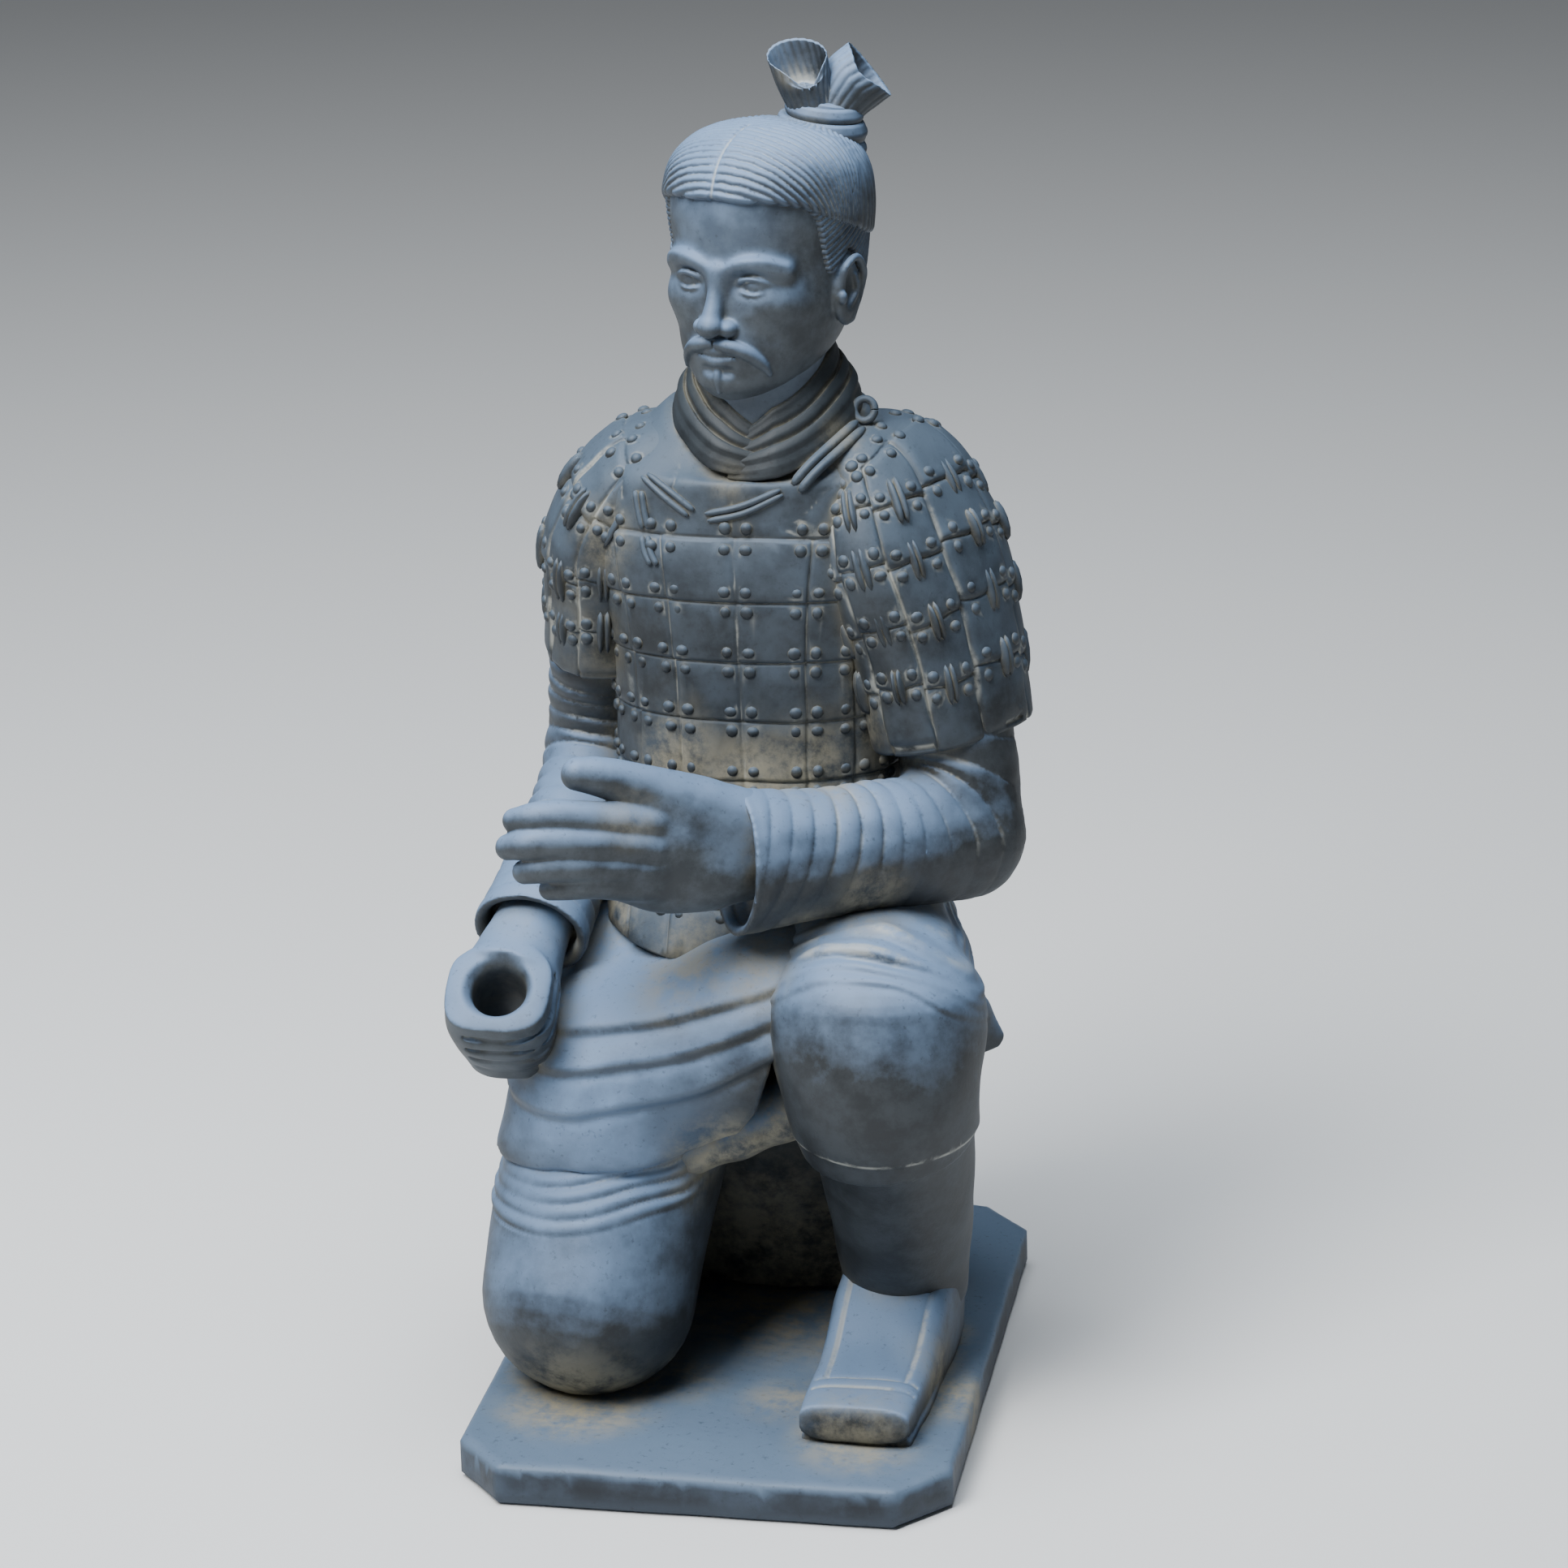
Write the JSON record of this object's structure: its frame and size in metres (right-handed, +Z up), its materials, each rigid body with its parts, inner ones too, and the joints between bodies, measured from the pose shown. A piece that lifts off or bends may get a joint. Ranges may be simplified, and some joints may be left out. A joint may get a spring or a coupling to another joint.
{
  "type": "kneeling archer statue",
  "caption": "Life-size kneeling archer of grey fired clay in plated armour with a side topknot, open left hand and pierced right fist, on a thin base slab with cut corners.",
  "frame": {"origin": "middle of the base slab's underside", "axes": "+Z up; -Y the way the chest faces; +X towards the figure's own left hand side, the raised knee"},
  "size_m": [0.4911, 0.64, 1.2099],
  "materials": {
    "grey_clay": "matt fired clay, slate blue-grey, with tan dust in the recesses",
    "slab_clay": "matt fired clay, mottled, with tan dust at the knee and the shoe"
  },
  "bodies": {
    "root": {"base_slab": "slab_clay", "warrior": "grey_clay"}
  },
  "joints": []
}
